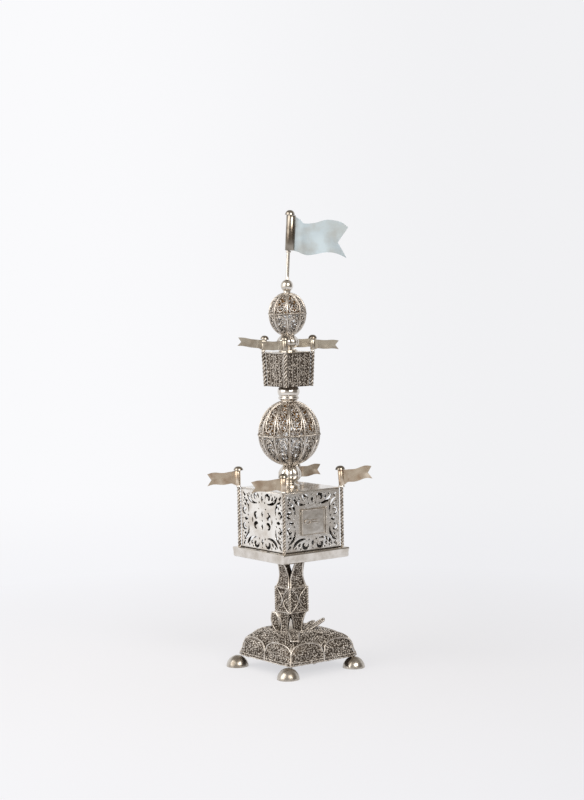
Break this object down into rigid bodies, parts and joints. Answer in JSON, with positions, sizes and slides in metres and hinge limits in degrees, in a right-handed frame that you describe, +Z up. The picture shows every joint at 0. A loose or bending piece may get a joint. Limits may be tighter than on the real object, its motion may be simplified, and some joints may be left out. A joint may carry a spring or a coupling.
{
  "type": "spice tower",
  "caption": "Silver filigree spice tower: pierced box with a hinged door on a stem and cushion base, under ribbed balls, a gallery and pennants that turn.",
  "frame": {"origin": "on the table, under the tower's axis", "axes": "+Z up along the axis, -Y out of the side that holds the door, +X to the right of someone who faces the door"},
  "size_m": [0.072, 0.0588, 0.2505],
  "materials": {
    "polished_silver": "polished by hand, softly worn",
    "filigree_silver": "twisted and drawn wire, darkened in its hollows",
    "gilt_silver": "polished sheet with a warm tone"
  },
  "bodies": {
    "tower": {"foot_front": "polished_silver", "foot_right": "polished_silver", "foot_back": "polished_silver", "foot_left": "polished_silver", "base_cushion": "filigree_silver", "leaf_front": "filigree_silver", "leaf_right": "filigree_silver", "leaf_back": "filigree_silver", "leaf_left": "filigree_silver", "stem_lower_brackets": "filigree_silver", "knop": "filigree_silver", "stem_upper_brackets": "filigree_silver", "tray": "polished_silver", "wall_front_door": "polished_silver", "wall_right": "polished_silver", "wall_back": "polished_silver", "wall_left": "polished_silver", "hinge_pin": "polished_silver", "box_lid": "polished_silver", "box_post_front": "filigree_silver", "box_post_right": "filigree_silver", "box_post_back": "filigree_silver", "box_post_left": "filigree_silver", "box_cap_front": "polished_silver", "box_cap_right": "polished_silver", "box_cap_back": "polished_silver", "box_cap_left": "polished_silver", "baluster": "polished_silver", "ball_lower": "filigree_silver", "ball_band": "filigree_silver", "ball_upper": "filigree_silver", "collar_bead": "polished_silver", "gallery_body": "filigree_silver", "gallery_lid": "polished_silver", "gallery_post_front": "filigree_silver", "gallery_post_right": "filigree_silver", "gallery_post_back": "filigree_silver", "gallery_post_left": "filigree_silver", "gallery_cap_front": "polished_silver", "gallery_cap_right": "polished_silver", "gallery_cap_back": "polished_silver", "gallery_cap_left": "polished_silver", "upper_baluster": "polished_silver", "small_ball_lower": "filigree_silver", "small_ball_band": "filigree_silver", "small_ball_upper": "filigree_silver", "bead": "polished_silver", "standard": "polished_silver", "standard_cap": "polished_silver"},
    "door": {"door": "polished_silver", "door_pull": "polished_silver"},
    "box_pennant_front": {"box_flag_front": "gilt_silver"},
    "box_pennant_right": {"box_flag_right": "gilt_silver"},
    "box_pennant_back": {"box_flag_back": "gilt_silver"},
    "box_pennant_left": {"box_flag_left": "gilt_silver"},
    "gallery_pennant_front": {"gallery_flag_front": "gilt_silver"},
    "gallery_pennant_right": {"gallery_flag_right": "gilt_silver"},
    "gallery_pennant_back": {"gallery_flag_back": "gilt_silver"},
    "gallery_pennant_left": {"gallery_flag_left": "gilt_silver"},
    "top_flag": {"big_flag": "polished_silver"}
  },
  "joints": [
    {"name": "door_hinge", "type": "hinge", "parent": "tower", "child": "door", "pos_m": [0.0087, -0.0205, 0.0825], "axis": [0, 0, 1], "range_deg": [0, 110]},
    {"name": "box_pennant_front_turn", "type": "hinge", "parent": "tower", "child": "box_pennant_front", "pos_m": [-0.02006, -0.02006, 0.1007], "axis": [0, 0, 1], "continuous": true},
    {"name": "box_pennant_right_turn", "type": "hinge", "parent": "tower", "child": "box_pennant_right", "pos_m": [0.02001, -0.02002, 0.1007], "axis": [-0.055, 0.0429, 0.9976], "continuous": true},
    {"name": "box_pennant_back_turn", "type": "hinge", "parent": "tower", "child": "box_pennant_back", "pos_m": [0.02006, 0.02006, 0.1007], "axis": [0, 0, 1], "continuous": true},
    {"name": "box_pennant_left_turn", "type": "hinge", "parent": "tower", "child": "box_pennant_left", "pos_m": [-0.02006, 0.02006, 0.1007], "axis": [0, 0, 1], "continuous": true},
    {"name": "gallery_pennant_front_turn", "type": "hinge", "parent": "tower", "child": "gallery_pennant_front", "pos_m": [-0.0096, -0.0096, 0.1748], "axis": [0, 0, 1], "range_deg": [-65, 225]},
    {"name": "gallery_pennant_right_turn", "type": "hinge", "parent": "tower", "child": "gallery_pennant_right", "pos_m": [0.0096, -0.0096, 0.1748], "axis": [0, 0, 1], "range_deg": [-150, 140]},
    {"name": "gallery_pennant_back_turn", "type": "hinge", "parent": "tower", "child": "gallery_pennant_back", "pos_m": [0.0096, 0.0096, 0.1748], "axis": [0, 0, 1], "range_deg": [-70, 220]},
    {"name": "gallery_pennant_left_turn", "type": "hinge", "parent": "tower", "child": "gallery_pennant_left", "pos_m": [-0.0095, 0.00952, 0.17479], "axis": [0.096, -0.075, 0.9925], "range_deg": [-140, 140]},
    {"name": "top_flag_turn", "type": "hinge", "parent": "tower", "child": "top_flag", "pos_m": [0.00084, -0.00066, 0.2287], "axis": [0.044, -0.0344, 0.9984], "continuous": true}
  ]
}
